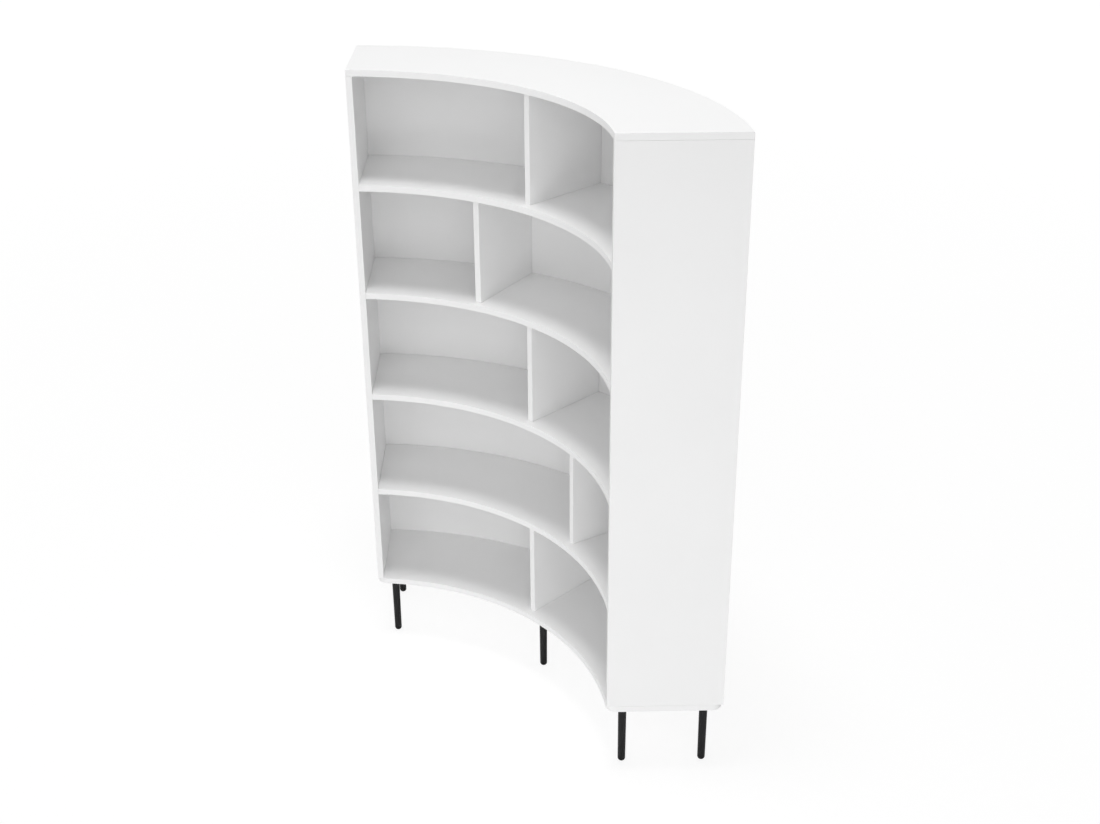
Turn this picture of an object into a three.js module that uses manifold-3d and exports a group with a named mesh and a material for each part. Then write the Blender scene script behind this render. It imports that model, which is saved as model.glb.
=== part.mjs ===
// Corner shelf unit: a ring of curved shelves between two side panels that stand square to each other.
// Millimetres, +Z up. The front is the hollow side, towards -X and -Y, and the round back fills the corner.
// Every plan place is measured from the centre of the arcs, and the unit is moved to its own middle last.
import * as THREE from "three";
import { mergeVertices } from "three/addons/utils/BufferGeometryUtils.js";
import Module from "manifold-3d";

// Plan of the case
const frontRadius = 752; // hollow front edge of the boards
const caseDepth = 326; // front arc to rear arc
const sideOffset = 54; // outer face of a side panel from the line through the arc centre
const bottomCornerRadius = 30; // the bottom board's four corners, rounded in plan

// Boards
const boardThickness = 18;
const bayHeight = 308; // clear height of each of the rows
const dividerSetback = 24; // dividers stand back from the shelves' front edge
const dividerShares = [1 / 2, 1 / 3, 1 / 2, 2 / 3, 1 / 2]; // one a row, top row first, from left to right

// Back: one thin curved sheet in a groove, with a screw into the middle of each shelf
const backThickness = 4;
const backInset = 10; // rear arc to the back sheet
const grooveDepth = 7;
const screwRadius = 1.75;
const screwLength = 30;
const screwTip = 4;
const screwHeadRadius = 4;
const screwHeadHeight = 2.2;

// Legs: tapered steel tubes with a welded stud, screwed into flanged inserts
const legHeight = 207; // floor to the bottom board
const legTopRadius = 12;
const legFootRadius = 11;
const legWall = 1.5;
const legCap = 4; // thickness of the plug that closes the tube's top
const studRadius = 5;
const studLength = 12;
const legFrontInset = 52; // front arc to the axis of an outer front leg
const legMiddleInset = 70; // front arc to the axis of the middle front leg
const legRearInset = 45; // rear arc to the axis of a rear leg
const legSideInset = 51; // side panel's outer face to the axis of an outer leg

// Foot glides: plastic domes with a stem inside the tube
const glideHeight = 11;
const glideFlatRadius = 3.5;
const glideRim = 1.5; // straight edge above the dome
const stemLength = 16;

// Flanged inserts in the bottom board
const insertRadius = 7;
const insertLength = 14.5;
const flangeRadius = 10.5;
const flangeThickness = 1.5;

// Connecting bolts between the side panels and the boards
const threadRadius = 3;
const threadLength = 10;
const collarRadius = 3.6;
const collarLength = 3;
const neckRadius = 2.4;
const headRadius = 3.5;
const headLength = 5;
const shankLength = 30;
const boltShares = [0.18, 0.82]; // places along the depth of a side panel

// Wooden dowels, glued into the dividers' ends
const dowelRadius = 4;
const dowelReach = 10;
const dowelShares = [0.25, 0.75]; // places along a divider

// Fits and facets
const fitGap = 0.3; // between neighbours
const overrun = 2; // cutters and joined pieces run on by this much
const mergeDistance = 1e-4;
const arcFacets = 40;
const cornerFacets = 6;
const domeFacets = 4;
const legFacets = 16;
const boreFacets = 8;

// Sizes that follow from the ones above
const rearRadius = frontRadius + caseDepth;
const panelInner = sideOffset + boardThickness;
const bayCount = dividerShares.length;
const rowPitch = bayHeight + boardThickness;
const backOuterRadius = rearRadius - backInset;
const backInnerRadius = backOuterRadius - backThickness;
const insideBackRadius = backInnerRadius * Math.cos(Math.PI / arcFacets / 2) - fitGap;
const up = new THREE.Vector3(0, 0, 1);
const down = new THREE.Vector3(0, 0, -1);
const forward = new THREE.Vector3(-1, -1, 0).normalize();

// Finishes
const lacquer = new THREE.MeshStandardMaterial({ color: 0xf1f1ef, roughness: 0.5, metalness: 0 });
const backFinish = new THREE.MeshStandardMaterial({ color: 0xededeb, roughness: 0.6, metalness: 0 });
const blackSteel = new THREE.MeshStandardMaterial({ color: 0x222223, roughness: 0.5, metalness: 0.5 });
const blackPlastic = new THREE.MeshStandardMaterial({ color: 0x161616, roughness: 0.7, metalness: 0 });
const zincSteel = new THREE.MeshStandardMaterial({ color: 0xb9bdc1, roughness: 0.35, metalness: 0.9 });

const wasm = await Module();
wasm.setup();

// Solids for cuts and joins

function solidOf(geometry) {
  const bare = geometry.clone();
  bare.deleteAttribute("normal");
  bare.deleteAttribute("uv");
  const merged = mergeVertices(bare, mergeDistance);
  const vertProperties = merged.getAttribute("position").array;
  const triVerts = new Uint32Array(merged.index.array);
  return new wasm.Manifold(new wasm.Mesh({ numProp: 3, vertProperties, triVerts }));
}

function geometryOf(solid) {
  const mesh = solid.getMesh();
  const geometry = new THREE.BufferGeometry();
  geometry.setAttribute("position", new THREE.BufferAttribute(mesh.vertProperties, mesh.numProp));
  geometry.setIndex(new THREE.BufferAttribute(mesh.triVerts, 1));
  geometry.computeVertexNormals();
  return geometry;
}

function cut(geometry, cutters) {
  return geometryOf(cutters.reduce((solid, cutter) => solid.subtract(solidOf(cutter)), solidOf(geometry)));
}

function join(geometry, additions) {
  return geometryOf(additions.reduce((solid, addition) => solid.add(solidOf(addition)), solidOf(geometry)));
}

// Basic shapes

function extruded(points, height) {
  return new THREE.ExtrudeGeometry(new THREE.Shape(points), { depth: height, bevelEnabled: false });
}

function turned(profile, facets) {
  const points = profile.map(([radius, height]) => new THREE.Vector2(radius, height));
  return new THREE.LatheGeometry(points, facets).rotateX(Math.PI / 2);
}

function rod(radius, from, to) {
  const length = to - from;
  const cylinder = new THREE.CylinderGeometry(radius, radius, length, boreFacets);
  return cylinder.rotateX(Math.PI / 2).translate(0, 0, from + length / 2);
}

// The radius of a faceted bore that clears a rod at any turn
function boreRadius(radius) {
  return (radius + fitGap) / Math.cos(Math.PI / boreFacets);
}

// A bore from its mouth at the point, into the material along the direction
function bore(radius, depth, point, direction) {
  const aim = new THREE.Quaternion().setFromUnitVectors(up, direction);
  const cutter = rod(boreRadius(radius), -overrun, depth + fitGap);
  return cutter.applyQuaternion(aim).translate(...point.toArray());
}

// Plan geometry about the arc centre. The left end lies along +Y and the right end along +X.

function arcPoints(radius, from, to, facets) {
  const points = [];
  for (let i = 0; i <= facets; i += 1) {
    const angle = from + ((to - from) * i) / facets;
    points.push(new THREE.Vector2(Math.cos(angle), Math.sin(angle)).multiplyScalar(radius));
  }
  return points;
}

function acrossFrom(radius, edge) {
  return Math.sqrt(radius * radius - edge * edge);
}

function swapped(points) {
  return points.map((point) => new THREE.Vector2(point.y, point.x)).reverse();
}

// A ring sector between a line beside each side panel, with square corners
function ringOutline(inner, outer, edge) {
  const outerEnd = Math.asin(edge / outer);
  const innerEnd = Math.asin(edge / inner);
  const outerArc = arcPoints(outer, outerEnd, Math.PI / 2 - outerEnd, arcFacets);
  const innerArc = arcPoints(inner, Math.PI / 2 - innerEnd, innerEnd, arcFacets);
  return [...outerArc, ...innerArc];
}

// A corner of the given radius between the line x = edge and an arc, from the line to the arc.
// The side is -1 where the corner lies inside the arc and 1 where it lies outside.
function roundedCorner(arcRadius, edge, corner, side) {
  const centre = new THREE.Vector2(edge + corner, acrossFrom(arcRadius + side * corner, edge + corner));
  const end = centre.angle() + (side > 0 ? -Math.PI : 0);
  const start = side > 0 ? -Math.PI : Math.PI;
  return arcPoints(corner, start, end, cornerFacets).map((point) => point.add(centre));
}

function roundedRingOutline(inner, outer, edge, corner) {
  const rearLeft = roundedCorner(outer, edge, corner, -1);
  const frontLeft = roundedCorner(inner, edge, corner, 1);
  const rearEnd = rearLeft[cornerFacets].angle();
  const frontEnd = frontLeft[cornerFacets].angle();
  const rearArc = arcPoints(outer, Math.PI / 2 - rearEnd, rearEnd, arcFacets).slice(1, -1);
  const frontArc = arcPoints(inner, frontEnd, Math.PI / 2 - frontEnd, arcFacets).slice(1, -1);
  const rear = [...swapped(rearLeft).reverse(), ...rearArc, ...rearLeft.reverse()];
  return [...rear, ...frontLeft, ...frontArc, ...swapped(frontLeft)];
}

// Heights

function underside(board) {
  return legHeight + board * rowPitch;
}

function topside(board) {
  return underside(board) + boardThickness;
}

// Boards are counted from the bottom board, 0, to the top board, and the shelves lie between them.
const shelfBoards = Array.from({ length: bayCount - 1 }, (_, i) => bayCount - 1 - i);

function boardName(board) {
  if (board === 0) return "bottom_board";
  return board === bayCount ? "top_board" : `shelf_${bayCount - board}`;
}

// Ends of the unit

const ends = ["left", "right"];

function atEnd(end, x, y, z) {
  return end === "left" ? new THREE.Vector3(x, y, z) : new THREE.Vector3(y, x, z);
}

function inward(end) {
  return atEnd(end, 1, 0, 0);
}

// Connecting bolts: each has its thread in a board's face and its shank in the end of the other board

function depthAt(share, x) {
  const front = acrossFrom(frontRadius, x);
  return front + share * (acrossFrom(rearRadius, x) - front);
}

function endBolts(end) {
  const panel = `side_panel_${end}`;
  const places = boltShares.map((share, i) => ({ share, place: i === 0 ? "front" : "rear" }));
  const middle = sideOffset + boardThickness / 2;
  const bolts = [];
  for (const { share, place } of places) {
    for (const board of shelfBoards) {
      const point = atEnd(end, panelInner, depthAt(share, middle), underside(board) + boardThickness / 2);
      const receiver = boardName(board);
      const name = `${receiver}_bolt_${end}_${place}`;
      bolts.push({ name, holder: panel, receiver, point, direction: inward(end) });
    }
    const plan = atEnd(end, middle, depthAt(share, middle), 0);
    const bolt = (from, holder, height, direction) => {
      const point = plan.clone().setZ(height);
      bolts.push({ name: `${from}_bolt_${end}_${place}`, holder, receiver: panel, point, direction });
    };
    bolt("top", "top_board", underside(bayCount), down);
    bolt("bottom", "bottom_board", topside(0), up);
  }
  return bolts;
}

const bolts = ends.flatMap(endBolts);

function boltBores(piece) {
  const threads = bolts.filter((bolt) => bolt.holder === piece);
  const shanks = bolts.filter((bolt) => bolt.receiver === piece);
  return [
    ...threads.map((bolt) => bore(threadRadius, threadLength, bolt.point, bolt.direction.clone().negate())),
    ...shanks.map((bolt) => bore(collarRadius, shankLength, bolt.point, bolt.direction)),
  ];
}

function boltGeometry() {
  const neckEnd = shankLength - headLength;
  const profile = [
    [0, -threadLength],
    [threadRadius, -threadLength],
    [threadRadius, fitGap],
    [collarRadius, fitGap],
    [collarRadius, collarLength],
    [neckRadius, collarLength],
    [neckRadius, neckEnd],
    [headRadius, neckEnd],
    [headRadius, shankLength],
    [0, shankLength],
  ];
  return turned(profile, boreFacets);
}

// Dividers: radial planks with dowels in both ends. Row 1 is the top row.

const outerFaceAngle = Math.asin(sideOffset / frontRadius);
const dividerFront = frontRadius + dividerSetback;
const dividerRear = acrossFrom(insideBackRadius, boardThickness / 2);
const dividerDepth = dividerRear - dividerFront;
const dividerHeight = bayHeight - 2 * fitGap;

function dividerAngle(row) {
  const wholeAngle = Math.PI / 2 - 2 * outerFaceAngle;
  return Math.PI / 2 - outerFaceAngle - dividerShares[row - 1] * wholeAngle;
}

function dividerGeometry() {
  const plank = new THREE.BoxGeometry(dividerDepth, boardThickness, dividerHeight);
  plank.translate(dividerFront + dividerDepth / 2, 0, dividerHeight / 2);
  const dowels = dowelShares.map((share) => {
    const dowel = rod(dowelRadius, -dowelReach, dividerHeight + dowelReach);
    return dowel.translate(dividerFront + share * dividerDepth, 0, 0);
  });
  return join(plank, dowels);
}

function dowelBores(board) {
  const bores = [];
  const addRow = (row, height, direction) => {
    for (const share of dowelShares) {
      const radius = dividerFront + share * dividerDepth;
      const angle = dividerAngle(row);
      const point = new THREE.Vector3(radius * Math.cos(angle), radius * Math.sin(angle), height);
      bores.push(bore(dowelRadius, dowelReach, point, direction));
    }
  };
  if (board < bayCount) addRow(bayCount - board, topside(board), down);
  if (board > 0) addRow(bayCount - board + 1, underside(board), up);
  return bores;
}

// Back sheet, its groove and its screws

const sheetHeight = bayCount * rowPitch - boardThickness + 2 * (grooveDepth - fitGap);
const sheetBottom = topside(0) - grooveDepth + fitGap;

// The space that the sheet needs, with a gap all round. It cuts the groove in the case.
function backGroove() {
  const outline = ringOutline(backInnerRadius - fitGap, backOuterRadius + fitGap, panelInner - grooveDepth);
  return extruded(outline, sheetHeight + 2 * fitGap).translate(0, 0, sheetBottom - fitGap);
}

function screwPoint(board) {
  const middle = backOuterRadius * Math.SQRT1_2;
  return new THREE.Vector3(middle, middle, underside(board) + boardThickness / 2);
}

function screwBore(board) {
  return bore(screwRadius, screwLength, screwPoint(board), forward);
}

function sheetGeometry() {
  const outline = ringOutline(backInnerRadius, backOuterRadius, panelInner - grooveDepth + fitGap);
  return cut(extruded(outline, sheetHeight).translate(0, 0, sheetBottom), shelfBoards.map(screwBore));
}

function screwGeometry() {
  const profile = [
    [0, -fitGap - screwHeadHeight],
    [screwHeadRadius, -fitGap - screwHeadHeight],
    [screwHeadRadius, -fitGap],
    [screwRadius, -fitGap],
    [screwRadius, screwLength - screwTip],
    [0, screwLength],
  ];
  return turned(profile, boreFacets);
}

// Case boards

function endBoardGeometry(board, outline) {
  const blank = extruded(outline, boardThickness).translate(0, 0, underside(board));
  const piece = boardName(board);
  return cut(blank, [backGroove(), ...boltBores(piece), ...dowelBores(board)]);
}

function topBoardGeometry() {
  return endBoardGeometry(bayCount, ringOutline(frontRadius, rearRadius, sideOffset));
}

function bottomBoardGeometry() {
  const outline = roundedRingOutline(frontRadius, rearRadius, sideOffset, bottomCornerRadius);
  return cut(endBoardGeometry(0, outline), legPlaces.map(insertBore));
}

function shelfGeometry(board) {
  const outline = ringOutline(frontRadius, insideBackRadius, panelInner + fitGap);
  const blank = extruded(outline, boardThickness).translate(0, 0, underside(board));
  return cut(blank, [...boltBores(boardName(board)), ...dowelBores(board), screwBore(board)]);
}

function sidePanelGeometry(end) {
  const corners = [
    [sideOffset, acrossFrom(frontRadius, sideOffset)],
    [panelInner, acrossFrom(frontRadius, panelInner)],
    [panelInner, acrossFrom(rearRadius, panelInner)],
    [sideOffset, acrossFrom(rearRadius, sideOffset)],
  ].map(([x, y]) => atEnd(end, x, y, 0));
  const outline = corners.map((corner) => new THREE.Vector2(corner.x, corner.y));
  const height = underside(bayCount) - topside(0) - 2 * fitGap;
  const blank = extruded(outline, height).translate(0, 0, topside(0) + fitGap);
  return cut(blank, [backGroove(), ...boltBores(`side_panel_${end}`)]);
}

// Legs, inserts and glides

function legRow(row, radius, middleRadius) {
  const x = sideOffset + legSideInset;
  const y = acrossFrom(radius, x);
  const middle = middleRadius * Math.SQRT1_2;
  return [
    { name: `${row}_left`, point: atEnd("left", x, y, 0) },
    { name: `${row}_middle`, point: new THREE.Vector3(middle, middle, 0) },
    { name: `${row}_right`, point: atEnd("right", x, y, 0) },
  ];
}

const legPlaces = [
  ...legRow("front", frontRadius + legFrontInset, frontRadius + legMiddleInset),
  ...legRow("rear", rearRadius - legRearInset, rearRadius - legRearInset),
];

const tubeBottom = glideHeight + fitGap;
const tubeTop = legHeight - fitGap;
const tubeInnerTop = legTopRadius - legWall;
const tubeInnerFoot = legFootRadius - legWall;

function legGeometry() {
  const profile = [
    [0, tubeTop - legCap],
    [tubeInnerTop, tubeTop - legCap],
    [tubeInnerFoot, tubeBottom],
    [legFootRadius, tubeBottom],
    [legTopRadius, tubeTop],
    [studRadius, tubeTop],
    [studRadius, legHeight + studLength],
    [0, legHeight + studLength],
  ];
  return turned(profile, legFacets);
}

function glideGeometry() {
  const dome = glideHeight - glideRim;
  const profile = [[0, 0]];
  for (let i = 0; i <= domeFacets; i += 1) {
    const turn = ((Math.PI / 2) * i) / domeFacets;
    const radius = glideFlatRadius + (legFootRadius - glideFlatRadius) * Math.sin(turn);
    profile.push([radius, dome * (1 - Math.cos(turn))]);
  }
  const stemRadius = (tubeInnerFoot - fitGap) * Math.cos(Math.PI / legFacets);
  profile.push([legFootRadius, glideHeight]);
  profile.push([stemRadius, glideHeight]);
  profile.push([stemRadius, glideHeight + stemLength]);
  profile.push([0, glideHeight + stemLength]);
  return turned(profile, legFacets);
}

function insertGeometry() {
  const inner = (studRadius + fitGap) / Math.cos(Math.PI / legFacets);
  const profile = [
    [inner, 0],
    [flangeRadius, 0],
    [flangeRadius, flangeThickness],
    [insertRadius, flangeThickness],
    [insertRadius, insertLength],
    [inner, insertLength],
    [inner, 0],
  ];
  return turned(profile, legFacets);
}

// A stepped bore in the bottom board for one insert and its flange
function insertBore({ point }) {
  const widen = (radius) => (radius + fitGap) / Math.cos(Math.PI / legFacets);
  const profile = [
    [0, -overrun],
    [widen(flangeRadius), -overrun],
    [widen(flangeRadius), flangeThickness + fitGap],
    [widen(insertRadius), flangeThickness + fitGap],
    [widen(insertRadius), insertLength + fitGap],
    [0, insertLength + fitGap],
  ];
  return turned(profile, legFacets).translate(point.x, point.y, legHeight);
}

// The assembly

const unit = new THREE.Group();

function add(name, geometry, finish) {
  const mesh = new THREE.Mesh(geometry, finish.clone());
  mesh.name = name;
  unit.add(mesh);
  return mesh;
}

function addBoards() {
  add("top_board", topBoardGeometry(), lacquer);
  add("bottom_board", bottomBoardGeometry(), lacquer);
  for (const board of shelfBoards) {
    add(boardName(board), shelfGeometry(board), lacquer);
  }
  for (const end of ends) {
    add(`side_panel_${end}`, sidePanelGeometry(end), lacquer);
  }
}

function addDividers() {
  for (let row = 1; row <= bayCount; row += 1) {
    const divider = add(`divider_${row}`, dividerGeometry(), lacquer);
    divider.rotation.z = dividerAngle(row);
    divider.position.z = topside(bayCount - row) + fitGap;
  }
}

function addBack() {
  add("back_sheet", sheetGeometry(), backFinish);
  for (const board of shelfBoards) {
    const screw = add(`back_screw_${bayCount - board}`, screwGeometry(), zincSteel);
    screw.position.copy(screwPoint(board));
    screw.quaternion.setFromUnitVectors(up, forward);
  }
}

function addLegs() {
  for (const { name, point } of legPlaces) {
    add(`leg_${name}`, legGeometry(), blackSteel).position.copy(point);
    add(`glide_${name}`, glideGeometry(), blackPlastic).position.copy(point);
    add(`insert_${name}`, insertGeometry(), zincSteel).position.copy(point).setZ(legHeight);
  }
}

function addBolts() {
  for (const bolt of bolts) {
    const mesh = add(bolt.name, boltGeometry(), zincSteel);
    mesh.position.copy(bolt.point);
    mesh.quaternion.setFromUnitVectors(up, bolt.direction);
  }
}

addBoards();
addDividers();
addBack();
addLegs();
addBolts();

// The origin is on the floor, in the middle of the unit's width and depth
const middle = (sideOffset + acrossFrom(rearRadius, sideOffset)) / 2;
unit.position.set(-middle, -middle, 0);

const part = new THREE.Group();
part.add(unit);
export default part;
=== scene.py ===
# Corner shelf unit: finishes, smooth legs and detailed screws, with a floor, light and camera,
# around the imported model. Metres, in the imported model's own frame.
import math

import bpy
from mathutils import Matrix, Vector


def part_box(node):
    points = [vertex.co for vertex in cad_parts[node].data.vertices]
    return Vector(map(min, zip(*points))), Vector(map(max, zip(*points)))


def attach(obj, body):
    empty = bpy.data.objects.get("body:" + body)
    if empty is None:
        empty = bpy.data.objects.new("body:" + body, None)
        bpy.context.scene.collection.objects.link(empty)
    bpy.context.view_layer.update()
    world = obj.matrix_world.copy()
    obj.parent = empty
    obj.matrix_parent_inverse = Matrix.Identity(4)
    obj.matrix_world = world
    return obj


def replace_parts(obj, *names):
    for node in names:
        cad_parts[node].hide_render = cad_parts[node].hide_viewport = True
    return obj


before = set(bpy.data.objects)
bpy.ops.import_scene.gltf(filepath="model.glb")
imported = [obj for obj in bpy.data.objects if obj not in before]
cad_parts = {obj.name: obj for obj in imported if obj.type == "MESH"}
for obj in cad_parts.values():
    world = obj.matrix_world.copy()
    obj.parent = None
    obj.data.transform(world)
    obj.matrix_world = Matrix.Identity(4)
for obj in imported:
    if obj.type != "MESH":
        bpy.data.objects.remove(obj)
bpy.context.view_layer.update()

MM = 0.001

# Camera, fitted to the photograph's edges.
# Its angles, in degrees from a level view along +Y, go right, down and clockwise.
CAMERA_PLACE = (-0.0348, -3.8508, 2.7433)
CAMERA_YAW = 1.124
CAMERA_PITCH = 25.613
CAMERA_ROLL = 0.357
IMAGE_WIDTH = 1100
FOCAL_PIXELS = 1468
SENSOR_WIDTH = 36

# Light: a sky that is brighter towards one side, a disc lamp above, one low in front,
# and a wide far lamp. A lamp's share is the light it gives a face square to it, where an even
# white sky gives a face 1. Its width is the angle, in degrees, that it fills as seen from the
# object. The far lamp's tilt is in degrees from straight up, and its turn in degrees from +X.
SKY_BASE = 0.58
SKY_SLOPE = (-0.35, 0.23, -0.28)
LAMP_AIM = (0, 0, 0.9)
HIGH_LAMP = {"place": (-0.25, -0.6, 6.0), "share": 0.312, "width": 14}
LOW_LAMP = {"place": (0, -3.4, 0.6), "share": 0.118, "width": 18}
FAR_LAMP = {"tilt": 62, "turn": 270, "share": 0.27, "width": 60}

# Floor, as linear values. The camera sees a share of it as plain white, whose strength makes up
# for the darker rest, most so far from the lamps. Distances are from the object's middle.
FLOOR_SIZE = 60
FLOOR_WHITE = 0.96
FLOOR_ROUGHNESS = 0.9
FLOOR_SEEN_SHARE = 0.8
FLOOR_NEAR = 1.5
FLOOR_FAR = 10
FLOOR_NEAR_STRENGTH = 1.07
FLOOR_FAR_STRENGTH = 1.15

# Boards and their edges. Facets that meet at under FLAT_ANGLE are joined before the rounding,
# and an edge is rounded, or on a turned piece drawn sharp, from EDGE_ANGLE, both in degrees.
BOARD_STARTS = ("top_board", "bottom_board", "shelf_", "side_panel_", "divider_")
EDGE_RADIUS = 0.35 * MM
EDGE_SEGMENTS = 3
EDGE_ANGLE = 40
FLAT_ANGLE = 0.4
WELD_DISTANCE = 0.02 * MM

# Legs and glides, as in the CAD model but turned smooth and with rounded rims
ROUND_FACETS = 64
CAD_BORE_FACETS = 16  # a glide's stem fits between the flats of the CAD leg's bore
LEG_TOP_RADIUS = 12 * MM
LEG_FOOT_RADIUS = 11 * MM
LEG_WALL = 1.5 * MM
LEG_CAP = 4 * MM
STUD_RADIUS = 5 * MM
STUD_LENGTH = 12 * MM
RIM_RADIUS = 0.5 * MM
RIM_STEPS = 4
GLIDE_HEIGHT = 11 * MM
GLIDE_FLAT_RADIUS = 3.5 * MM
GLIDE_RIM = 1.5 * MM
GLIDE_STEPS = 12
STEM_LENGTH = 16 * MM
FIT_GAP = 0.3 * MM

# Pan-head screws in the back, with a cross recess that narrows from above the head to its bottom
SCREW_RADIUS = 1.75 * MM
SCREW_LENGTH = 30 * MM
SCREW_TIP = 4 * MM
SCREW_HEAD_RADIUS = 4 * MM
SCREW_HEAD_HEIGHT = 2.2 * MM
SCREW_HEAD_RIM = 0.6 * MM
DOME_STEPS = 10
RECESS_LENGTH = 4.2 * MM
RECESS_WIDTH = 0.9 * MM
RECESS_DEPTH = 1.4 * MM
RECESS_BOTTOM_SHARE = 0.45
RECESS_TOP_SHARE = 1.4

# Where the screws stand. The arcs' common axis lies SIDE_OFFSET outside the planes of the side
# panels' outer faces. The back's free arc begins and ends BACK_END_ANGLE, in degrees about that
# axis, from a wall's direction. HEAD_SHARES are shares of that arc, for the screws beside the
# middle one on each shelf.
SIDE_OFFSET = 54 * MM
BACK_END_ANGLE = 3.9
HEAD_SHARES = (0.1, 0.3, 0.7, 0.9)

# Finishes. Clouds and roughness are a noise's scale, per metre, and the ends of what it spans:
# shares of the linear colour, or roughness. Grain is a noise's scale and the height of its bumps.
# Shader holds the shader's plain values that aren't its own.
FINISHES = {
    "white_board": {
        "colour": (0.94, 0.94, 0.94), "clouds": (2.5, 0.988, 1.006),
        "roughness": (60, 0.44, 0.54), "grain": (900, 0.02 * MM), "shader": {},
    },
    "white_back": {
        "colour": (0.93, 0.93, 0.93), "clouds": (2.5, 0.988, 1.006),
        "roughness": (60, 0.44, 0.54), "grain": (900, 0.02 * MM), "shader": {},
    },
    "black_steel": {
        "colour": (0.006, 0.006, 0.0065), "clouds": (25, 0.8, 1.2),
        "roughness": (200, 0.38, 0.48), "grain": (1600, 0.03 * MM),
        "shader": {"Specular IOR Level": 0.3},
    },
    "black_plastic": {
        "colour": (0.005, 0.005, 0.005), "clouds": (80, 0.8, 1.3),
        "roughness": (400, 0.5, 0.65), "grain": (2500, 0.04 * MM),
        "shader": {"Specular IOR Level": 0.3},
    },
    "zinc_steel": {
        "colour": (0.62, 0.64, 0.66), "clouds": (300, 0.85, 1.0),
        "roughness": (500, 0.24, 0.4), "grain": (2200, 0.02 * MM),
        "shader": {"Metallic": 1.0},
    },
}
NOISE_LOW = 0.3  # most of a noise's values lie between these two
NOISE_HIGH = 0.7
SOFT_DETAIL = 3.0
GRAIN_DETAIL = 2.0


# Nodes

class Nodes:
    """The node tree of a material or world, with each node made and linked in one call."""

    def __init__(self, owner):
        owner.use_nodes = True
        self.tree = owner.node_tree

    def __getitem__(self, name):
        return self.tree.nodes[name]

    def fill(self, node, inputs):
        """Set each input to its value, or link it where the value is another node's output."""
        for name, value in inputs.items():
            if isinstance(value, bpy.types.NodeSocket):
                self.tree.links.new(value, node.inputs[name])
            else:
                node.inputs[name].default_value = value

    def add(self, kind, inputs, **settings):
        """Make a node, and give its outputs."""
        node = self.tree.nodes.new(kind)
        for name, value in settings.items():
            setattr(node, name, value)
        self.fill(node, inputs)
        return node.outputs

    def calculate(self, operation, first, second):
        outputs = self.add("ShaderNodeMath", {0: first, 1: second}, operation=operation)
        return outputs["Value"]

    def stretch(self, value, low, high, new_low, new_high):
        """The value, with the span from low to high moved to new_low to new_high and kept in it."""
        spans = {"From Min": low, "From Max": high, "To Min": new_low, "To Max": new_high}
        return self.add("ShaderNodeMapRange", {"Value": value, **spans})["Result"]


# Camera and light

def add_camera():
    data = bpy.data.cameras.new("camera")
    data.sensor_width = SENSOR_WIDTH
    data.lens = FOCAL_PIXELS * SENSOR_WIDTH / IMAGE_WIDTH
    camera = bpy.data.objects.new("camera", data)
    turn = Matrix.Rotation(-math.radians(CAMERA_YAW), 4, "Z")
    tilt = Matrix.Rotation(math.radians(90 - CAMERA_PITCH), 4, "X")
    roll = Matrix.Rotation(-math.radians(CAMERA_ROLL), 4, "Z")
    camera.matrix_world = Matrix.Translation(CAMERA_PLACE) @ turn @ tilt @ roll
    bpy.context.collection.objects.link(camera)
    bpy.context.scene.camera = camera


def add_world():
    """White to the camera and in reflections. For other rays, a sky that slopes evenly."""
    world = bpy.data.worlds.new("world")
    nodes = Nodes(world)
    direction = nodes.add("ShaderNodeTexCoord", {})["Generated"]
    product = {0: direction, 1: SKY_SLOPE}
    slope = nodes.add("ShaderNodeVectorMath", product, operation="DOT_PRODUCT")["Value"]
    sky = nodes.calculate("MAXIMUM", nodes.calculate("ADD", slope, SKY_BASE), 0)
    path = nodes.add("ShaderNodeLightPath", {})
    seen = path["Is Camera Ray"]
    for ray in ("Is Glossy Ray", "Is Transmission Ray"):
        seen = nodes.calculate("MAXIMUM", seen, path[ray])
    strength = nodes.add("ShaderNodeMix", {"Factor": seen, "A": sky, "B": 1})["Result"]
    nodes.fill(nodes["Background"], {"Color": (1, 1, 1, 1), "Strength": strength})
    bpy.context.scene.world = world


def facing(direction):
    return direction.to_track_quat("Z", "X").to_matrix().to_4x4()


def add_lamp(data, placing):
    lamp = bpy.data.objects.new(data.name, data)
    lamp.matrix_world = placing
    lamp.visible_camera = False
    bpy.context.collection.objects.link(lamp)


def add_disc_lamp(name, place, share, width):
    away = Vector(place) - Vector(LAMP_AIM)
    data = bpy.data.lights.new(name, "AREA")
    data.shape = "DISK"
    data.size = 2 * away.length * math.tan(math.radians(width / 2))
    data.energy = share * (math.pi * away.length) ** 2
    add_lamp(data, Matrix.Translation(place) @ facing(away))


def add_far_lamp(name, tilt, turn, share, width):
    data = bpy.data.lights.new(name, "SUN")
    data.energy = share * math.pi
    data.angle = math.radians(width)
    around = Matrix.Rotation(math.radians(turn), 4, "Z")
    add_lamp(data, around @ Matrix.Rotation(math.radians(tilt), 4, "Y"))


# Finishes

def scaled(colour, factor):
    return tuple(factor * channel for channel in colour)


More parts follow.
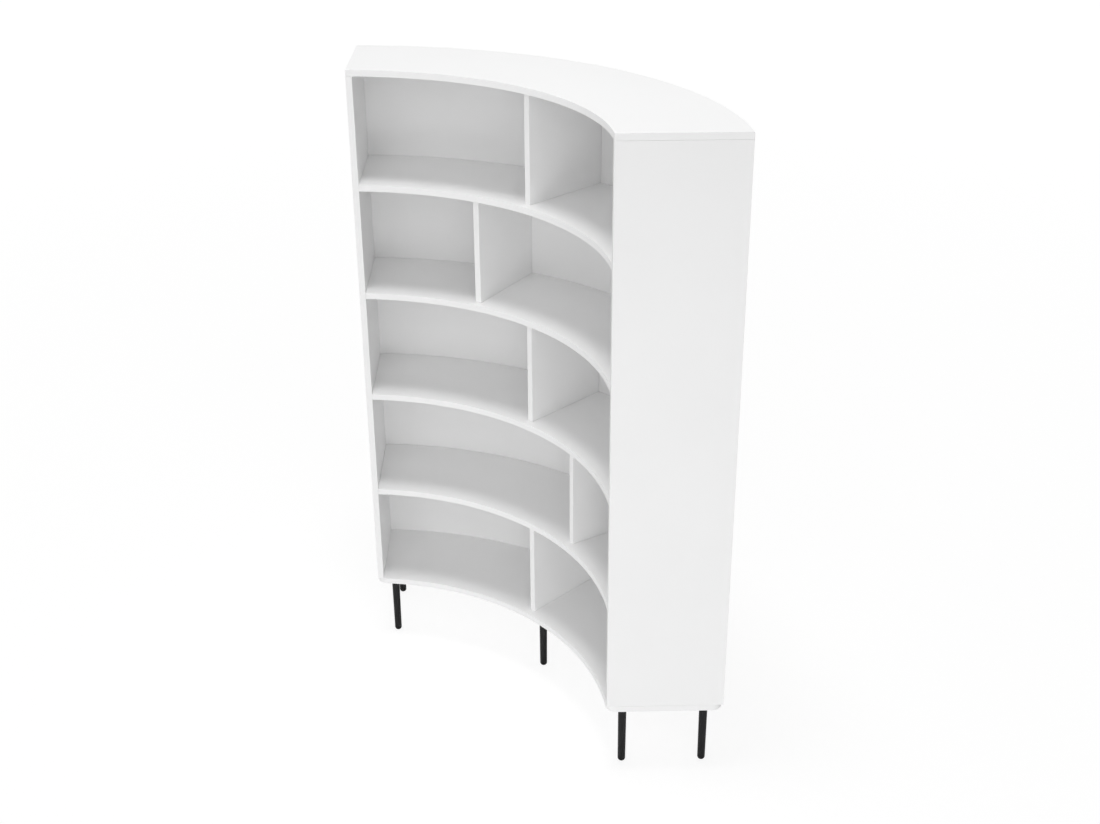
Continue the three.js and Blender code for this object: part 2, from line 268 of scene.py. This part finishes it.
def add_finish(name):
    """A material whose colour, roughness and bump come from noise in the object's own metres."""
    looks = FINISHES[name]
    material = bpy.data.materials.new(name)
    nodes = Nodes(material)
    place = nodes.add("ShaderNodeTexCoord", {})["Object"]

    def noise(scale, detail):
        inputs = {"Vector": place, "Scale": scale, "Detail": detail}
        return nodes.add("ShaderNodeTexNoise", inputs)["Fac"]

    def spread(scale, low, high):
        return nodes.stretch(noise(scale, SOFT_DETAIL), NOISE_LOW, NOISE_HIGH, low, high)

    scale, dark, light = looks["clouds"]
    ends = [(*scaled(looks["colour"], share), 1) for share in (dark, light)]
    blend = {"Factor": spread(scale, 0, 1), "A": ends[0], "B": ends[1]}
    colour = nodes.add("ShaderNodeMix", blend, data_type="RGBA")["Result"]
    roughness = spread(*looks["roughness"])
    scale, height = looks["grain"]
    bump = {"Height": noise(scale, GRAIN_DETAIL), "Distance": height, "Strength": 1}
    normal = nodes.add("ShaderNodeBump", bump)["Normal"]
    inputs = {"Base Color": colour, "Roughness": roughness, "Normal": normal}
    nodes.fill(nodes["Principled BSDF"], {**looks["shader"], **inputs})
    return material


# CAD nodes that keep their shape: a finish, and fine rounded edges on the boards

def names_of(start):
    return [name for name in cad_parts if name.startswith(start)]


def give(node, material):
    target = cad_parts[node]
    target.data.materials.clear()
    target.data.materials.append(material)
    return target


def soften_edges(target):
    weld = target.modifiers.new("weld", "WELD")
    weld.merge_threshold = WELD_DISTANCE
    flat = target.modifiers.new("flat", "DECIMATE")
    flat.decimate_type = "DISSOLVE"
    flat.angle_limit = math.radians(FLAT_ANGLE)
    bevel = target.modifiers.new("bevel", "BEVEL")
    bevel.width = EDGE_RADIUS
    bevel.segments = EDGE_SEGMENTS
    bevel.limit_method = "ANGLE"
    bevel.angle_limit = math.radians(EDGE_ANGLE)
    bevel.use_clamp_overlap = False
    for polygon in target.data.polygons:
        polygon.use_smooth = True
    normals = target.modifiers.new("normals", "WEIGHTED_NORMAL")
    normals.keep_sharp = False


def finish_case():
    board = add_finish("white_board")
    back = add_finish("white_back")
    for start in BOARD_STARTS:
        for name in names_of(start):
            if "_bolt_" not in name:
                soften_edges(give(name, board))
    soften_edges(give("back_sheet", back))


def finish_fasteners(zinc):
    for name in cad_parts:
        if "_bolt_" in name or name.startswith("insert"):
            give(name, zinc)


# Turned pieces

def turned_mesh(name, profile, material):
    """A smooth closed body turned about Z, from a profile of (radius, height) that starts and ends
    on the axis."""
    vertices = [(0, 0, profile[0][1]), (0, 0, profile[-1][1])]
    rings = []
    for radius, height in profile[1:-1]:
        ring = []
        for i in range(ROUND_FACETS):
            angle = 2 * math.pi * i / ROUND_FACETS
            ring.append(len(vertices))
            vertices.append((radius * math.cos(angle), radius * math.sin(angle), height))
        rings.append(ring)
    faces = []
    for i in range(ROUND_FACETS):
        j = (i + 1) % ROUND_FACETS
        faces.append((0, rings[0][j], rings[0][i]))
        for low, high in zip(rings, rings[1:]):
            faces.append((low[i], low[j], high[j], high[i]))
        faces.append((1, rings[-1][i], rings[-1][j]))
    mesh = bpy.data.meshes.new(name)
    mesh.from_pydata(vertices, [], faces)
    mesh.materials.append(material)
    for polygon in mesh.polygons:
        polygon.use_smooth = True
    mesh.set_sharp_from_angle(angle=math.radians(EDGE_ANGLE))
    return mesh


def arc(centre, radii, start, end, steps):
    """Points of an arc in the profile plane, with angles in degrees from the outward direction.
    The two radii are the one outward and the one upward."""
    points = []
    for i in range(steps + 1):
        angle = math.radians(start + (end - start) * i / steps)
        outward = centre[0] + radii[0] * math.cos(angle)
        points.append((outward, centre[1] + radii[1] * math.sin(angle)))
    return points


def rim(centre, start):
    return arc(centre, (RIM_RADIUS, RIM_RADIUS), start, start + 90, RIM_STEPS)


def leg_profile(height):
    """From inside the tube's top down the wall, round the foot's rim, up and over the stud."""
    top = height - FIT_GAP
    bottom = GLIDE_HEIGHT + FIT_GAP
    bore_end = (LEG_TOP_RADIUS - LEG_WALL, top - LEG_CAP)
    inside = [(0, top - LEG_CAP), bore_end, (LEG_FOOT_RADIUS - LEG_WALL, bottom)]
    foot_rim = rim((LEG_FOOT_RADIUS - RIM_RADIUS, bottom + RIM_RADIUS), -90)
    top_rim = rim((LEG_TOP_RADIUS - RIM_RADIUS, top - RIM_RADIUS), 0)
    stud = [(STUD_RADIUS, top), (STUD_RADIUS, height + STUD_LENGTH), (0, height + STUD_LENGTH)]
    return inside + foot_rim + top_rim + stud


def glide_profile():
    """From the floor over the dome and its rim to the stem's end."""
    dome_height = GLIDE_HEIGHT - GLIDE_RIM
    dome_radii = (LEG_FOOT_RADIUS - GLIDE_FLAT_RADIUS, dome_height)
    dome = arc((GLIDE_FLAT_RADIUS, dome_height), dome_radii, -90, 0, GLIDE_STEPS)
    top_rim = rim((LEG_FOOT_RADIUS - RIM_RADIUS, GLIDE_HEIGHT - RIM_RADIUS), 0)
    flat_share = math.cos(math.pi / CAD_BORE_FACETS)
    stem = (LEG_FOOT_RADIUS - LEG_WALL - FIT_GAP) * flat_share
    stem_end = GLIDE_HEIGHT + STEM_LENGTH
    return [(0, 0)] + dome + top_rim + [(stem, GLIDE_HEIGHT), (stem, stem_end), (0, stem_end)]


def dome_profile():
    """The outside of a screw's head, from its flat underside to its top at zero."""
    under_head = -SCREW_HEAD_HEIGHT
    dome_radii = (SCREW_HEAD_RADIUS, SCREW_HEAD_HEIGHT - SCREW_HEAD_RIM)
    dome = arc((0, under_head + SCREW_HEAD_RIM), dome_radii, 0, 90, DOME_STEPS)
    return [(SCREW_HEAD_RADIUS, under_head)] + dome[:-1] + [(0, 0)]


def head_profile():
    return [(0, -SCREW_HEAD_HEIGHT)] + dome_profile()


def screw_profile():
    under_head = -SCREW_HEAD_HEIGHT
    tip = under_head - FIT_GAP - SCREW_LENGTH
    shank = [(0, tip), (SCREW_RADIUS, tip + SCREW_TIP), (SCREW_RADIUS, under_head)]
    return shank + dome_profile()


def add_piece(name, mesh, place, turn=None):
    piece = bpy.data.objects.new(name, mesh)
    bpy.context.collection.objects.link(piece)
    piece.matrix_world = Matrix.Translation(place) @ (turn or Matrix())
    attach(piece, "root")
    return piece


def stand_in(mesh, node, place, turn=None):
    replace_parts(add_piece(f"{node}_smooth", mesh, place, turn), node)


def axis_of(node):
    low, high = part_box(node)
    return Vector(((low.x + high.x) / 2, (low.y + high.y) / 2, 0))


def add_legs():
    legs = names_of("leg_")
    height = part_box(legs[0])[1].z - STUD_LENGTH
    leg = turned_mesh("leg", leg_profile(height), add_finish("black_steel"))
    glide = turned_mesh("glide", glide_profile(), add_finish("black_plastic"))
    for name in legs:
        stand_in(leg, name, axis_of(name))
    for name in names_of("glide_"):
        stand_in(glide, name, axis_of(name))


# Screws

def recess_cutter():
    """Two crossed bars that taper downward, as a cross driver leaves."""
    ends = ((-RECESS_DEPTH, RECESS_BOTTOM_SHARE), (RECESS_DEPTH, RECESS_TOP_SHARE))
    corners = ((-1, -1), (1, -1), (1, 1), (-1, 1))
    sides = [(3, 2, 1, 0), (4, 5, 6, 7), (0, 1, 5, 4), (1, 2, 6, 5), (2, 3, 7, 6), (3, 0, 4, 7)]
    half_width = RECESS_WIDTH / 2
    vertices = []
    faces = []
    for along in (False, True):
        first = len(vertices)
        for height, share in ends:
            half_length = RECESS_LENGTH / 2 * share
            for x, y in corners:
                across = (-y * half_width, x * half_length)
                flat = (x * half_length, y * half_width) if along else across
                vertices.append((*flat, height))
        faces += [tuple(first + i for i in side) for side in sides]
    mesh = bpy.data.meshes.new("recess")
    mesh.from_pydata(vertices, [], faces)
    return mesh


def with_recess(mesh):
    body = bpy.data.objects.new("screw", mesh)
    cutter = bpy.data.objects.new("recess", recess_cutter())
    for part in (body, cutter):
        bpy.context.collection.objects.link(part)
    cut = body.modifiers.new("cut", "BOOLEAN")
    cut.operation = "DIFFERENCE"
    cut.solver = "EXACT"
    cut.use_self = True
    cut.object = cutter
    depsgraph = bpy.context.evaluated_depsgraph_get()
    result = bpy.data.meshes.new_from_object(body.evaluated_get(depsgraph))
    for part in (body, cutter):
        bpy.data.objects.remove(part)
    return result


def outward_at(share):
    """The direction square to the curved back at a share of its free arc."""
    angle = math.radians(BACK_END_ANGLE + share * (90 - 2 * BACK_END_ANGLE))
    return Vector((math.cos(angle), math.sin(angle), 0))


def add_screws(zinc):
    """A whole screw for each CAD screw, in the middle of a shelf, and heads to both sides of it."""
    screw = with_recess(turned_mesh("screw", screw_profile(), zinc))
    head = with_recess(turned_mesh("screw_head", head_profile(), zinc))
    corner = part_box("top_board")[0]
    axis = Vector((corner.x - SIDE_OFFSET, corner.y - SIDE_OFFSET, 0))
    middle = outward_at(0.5)
    for name in names_of("back_screw_"):
        low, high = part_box(name)
        height = Vector((0, 0, (low.z + high.z) / 2))
        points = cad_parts[name].data.vertices
        reach = max((point.co - axis).dot(middle) for point in points)
        stand_in(screw, name, axis + reach * middle + height, facing(middle))
        for share in HEAD_SHARES:
            outward = outward_at(share)
            place = axis + (reach - FIT_GAP) * outward + height
            beside = f"{name}_beside_{round(100 * share)}"
            add_piece(beside, head, place, facing(outward))


# Floor

def add_floor():
    """To the camera the floor is mostly plain white, as a studio sweep, with a light shadow."""
    mesh = bpy.data.meshes.new("floor")
    half = FLOOR_SIZE / 2
    corners = [(-half, -half, 0), (half, -half, 0), (half, half, 0), (-half, half, 0)]
    mesh.from_pydata(corners, [], [(0, 1, 2, 3)])
    floor = bpy.data.objects.new("floor", mesh)
    bpy.context.collection.objects.link(floor)
    material = bpy.data.materials.new("floor")
    nodes = Nodes(material)
    shader = nodes["Principled BSDF"]
    colour = (FLOOR_WHITE, FLOOR_WHITE, FLOOR_WHITE, 1)
    matt = {"Base Color": colour, "Roughness": FLOOR_ROUGHNESS, "Specular IOR Level": 0}
    nodes.fill(shader, matt)
    place = nodes.add("ShaderNodeTexCoord", {})["Object"]
    distance = nodes.add("ShaderNodeVectorMath", {0: place}, operation="LENGTH")["Value"]
    strengths = (FLOOR_NEAR_STRENGTH, FLOOR_FAR_STRENGTH)
    strength = nodes.stretch(distance, FLOOR_NEAR, FLOOR_FAR, *strengths)
    white = nodes.add("ShaderNodeEmission", {"Strength": strength})["Emission"]
    seen = nodes.add("ShaderNodeLightPath", {})["Is Camera Ray"]
    share = nodes.calculate("MULTIPLY", seen, FLOOR_SEEN_SHARE)
    mix = {"Fac": share, 1: shader.outputs["BSDF"], 2: white}
    surface = nodes.add("ShaderNodeMixShader", mix)["Shader"]
    nodes.fill(nodes["Material Output"], {"Surface": surface})
    mesh.materials.append(material)


add_camera()
add_world()
add_disc_lamp("high_lamp", **HIGH_LAMP)
add_disc_lamp("low_lamp", **LOW_LAMP)
add_far_lamp("far_lamp", **FAR_LAMP)
finish_case()
zinc_steel = add_finish("zinc_steel")
finish_fasteners(zinc_steel)
add_legs()
add_screws(zinc_steel)
add_floor()
bpy.context.scene.view_settings.view_transform = "Standard"
